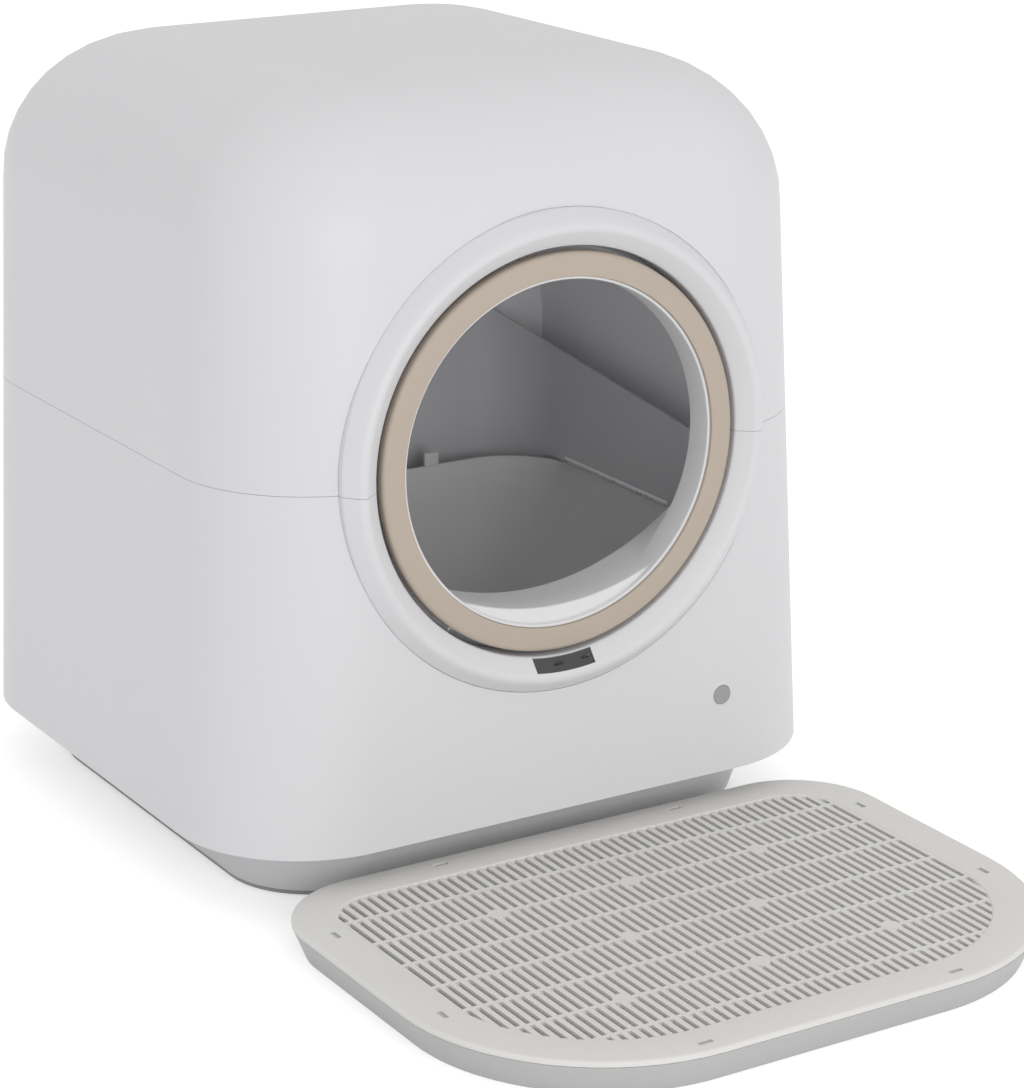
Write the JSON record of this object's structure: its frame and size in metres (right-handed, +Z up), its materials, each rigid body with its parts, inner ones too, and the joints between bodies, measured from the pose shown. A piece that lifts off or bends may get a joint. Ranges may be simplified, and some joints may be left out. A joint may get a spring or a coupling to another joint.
{
  "type": "self-cleaning litter box",
  "caption": "Cube-shaped self-cleaning litter box with rounded edges, a turning drum behind a round entry, a waste drawer at its side and a slatted step mat in front.",
  "frame": {"origin": "on the floor, at the middle of the ground that the box and its step mat cover together", "axes": "+Z up; -Y is the front, where the entry and the step mat are; +X is the right side as the user faces it"},
  "size_m": [0.518, 0.843, 0.574],
  "materials": {
    "casing_white": "satin",
    "window_black": "glossy",
    "board_green": "matte",
    "plinth_grey": "satin",
    "foot_rubber": "matte",
    "frame_grey": "matte",
    "shaft_steel": "brushed",
    "motor_steel": "brushed",
    "gear_ivory": "matte",
    "ring_beige": "satin",
    "throat_white": "satin",
    "drum_grey": "matte",
    "liner_grey": "matte",
    "roller_rubber": "matte",
    "button_grey": "satin",
    "mat_white": "matte",
    "tray_grey": "matte"
  },
  "bodies": {
    "base": {"lower_casing": "casing_white", "lower_bezel": "casing_white", "display_window": "window_black", "display_board": "board_green", "plinth": "plinth_grey", "ground_ring": "foot_rubber", "cradle": "frame_grey", "motor_mount": "shaft_steel", "gearbox": "frame_grey", "drive_motor": "motor_steel", "power_socket": "window_black", "control_board": "board_green", "button_switch": "board_green"},
    "cover": {"upper_cover": "casing_white", "upper_bezel_left": "casing_white", "upper_bezel_right": "casing_white"},
    "drum": {"drum_front": "drum_grey", "drum_rear": "drum_grey", "ring_gear": "gear_ivory", "entry_ring": "ring_beige", "throat": "throat_white", "litter_guard": "throat_white", "litter_liner": "liner_grey", "divider": "drum_grey", "sieve_grate": "drum_grey"},
    "pinion": {"drive_pinion": "gear_ivory"},
    "left_rollers": {"rollers_left": "roller_rubber"},
    "right_rollers": {"rollers_right": "roller_rubber"},
    "drawer": {"waste_drawer": "frame_grey", "drawer_face": "casing_white"},
    "button": {"power_button": "button_grey"},
    "step_mat": {"mat_tray": "tray_grey", "mat_feet": "foot_rubber"},
    "grille": {"mat_grille": "mat_white"}
  },
  "joints": [
    {"name": "drum_turn", "type": "hinge", "parent": "base", "child": "drum", "pos_m": [0, -0.0785, 0.316], "axis": [0, 1, 0], "range_deg": [-90, 270]},
    {"name": "pinion_turn", "type": "hinge", "parent": "base", "child": "pinion", "pos_m": [-0.16971, -0.0785, 0.14629], "axis": [0, 1, 0], "continuous": true},
    {"name": "left_rollers_turn", "type": "hinge", "parent": "base", "child": "left_rollers", "pos_m": [-0.13255, -0.0785, 0.14634], "axis": [0, 1, 0], "continuous": true},
    {"name": "right_rollers_turn", "type": "hinge", "parent": "base", "child": "right_rollers", "pos_m": [0.13255, -0.0785, 0.14634], "axis": [0, 1, 0], "continuous": true},
    {"name": "button_press", "type": "slide", "parent": "base", "child": "button", "axis": [0, 1, 0], "range_m": [0, 0.0015], "stiffness_N_per_m": 400, "springref_m": -0.001},
    {"name": "drawer_slide", "type": "slide", "parent": "base", "child": "drawer", "axis": [1, 0, 0], "range_m": [0, 0.3]},
    {"name": "cover_lift", "type": "slide", "parent": "base", "child": "cover", "axis": [0, 0, 1], "range_m": [0, 0.26]},
    {"name": "mat_slide", "type": "slide", "parent": "base", "child": "step_mat", "axis": [0, -1, 0], "range_m": [0, 0.2]},
    {"name": "grille_lift", "type": "slide", "parent": "step_mat", "child": "grille", "axis": [0, 0, 1], "range_m": [0, 0.02]}
  ],
  "couplings": [
    {"joint": "pinion_turn", "follows": "drum_turn", "ratio": -7},
    {"joint": "left_rollers_turn", "follows": "drum_turn", "ratio": -13.333},
    {"joint": "right_rollers_turn", "follows": "drum_turn", "ratio": -13.333}
  ]
}
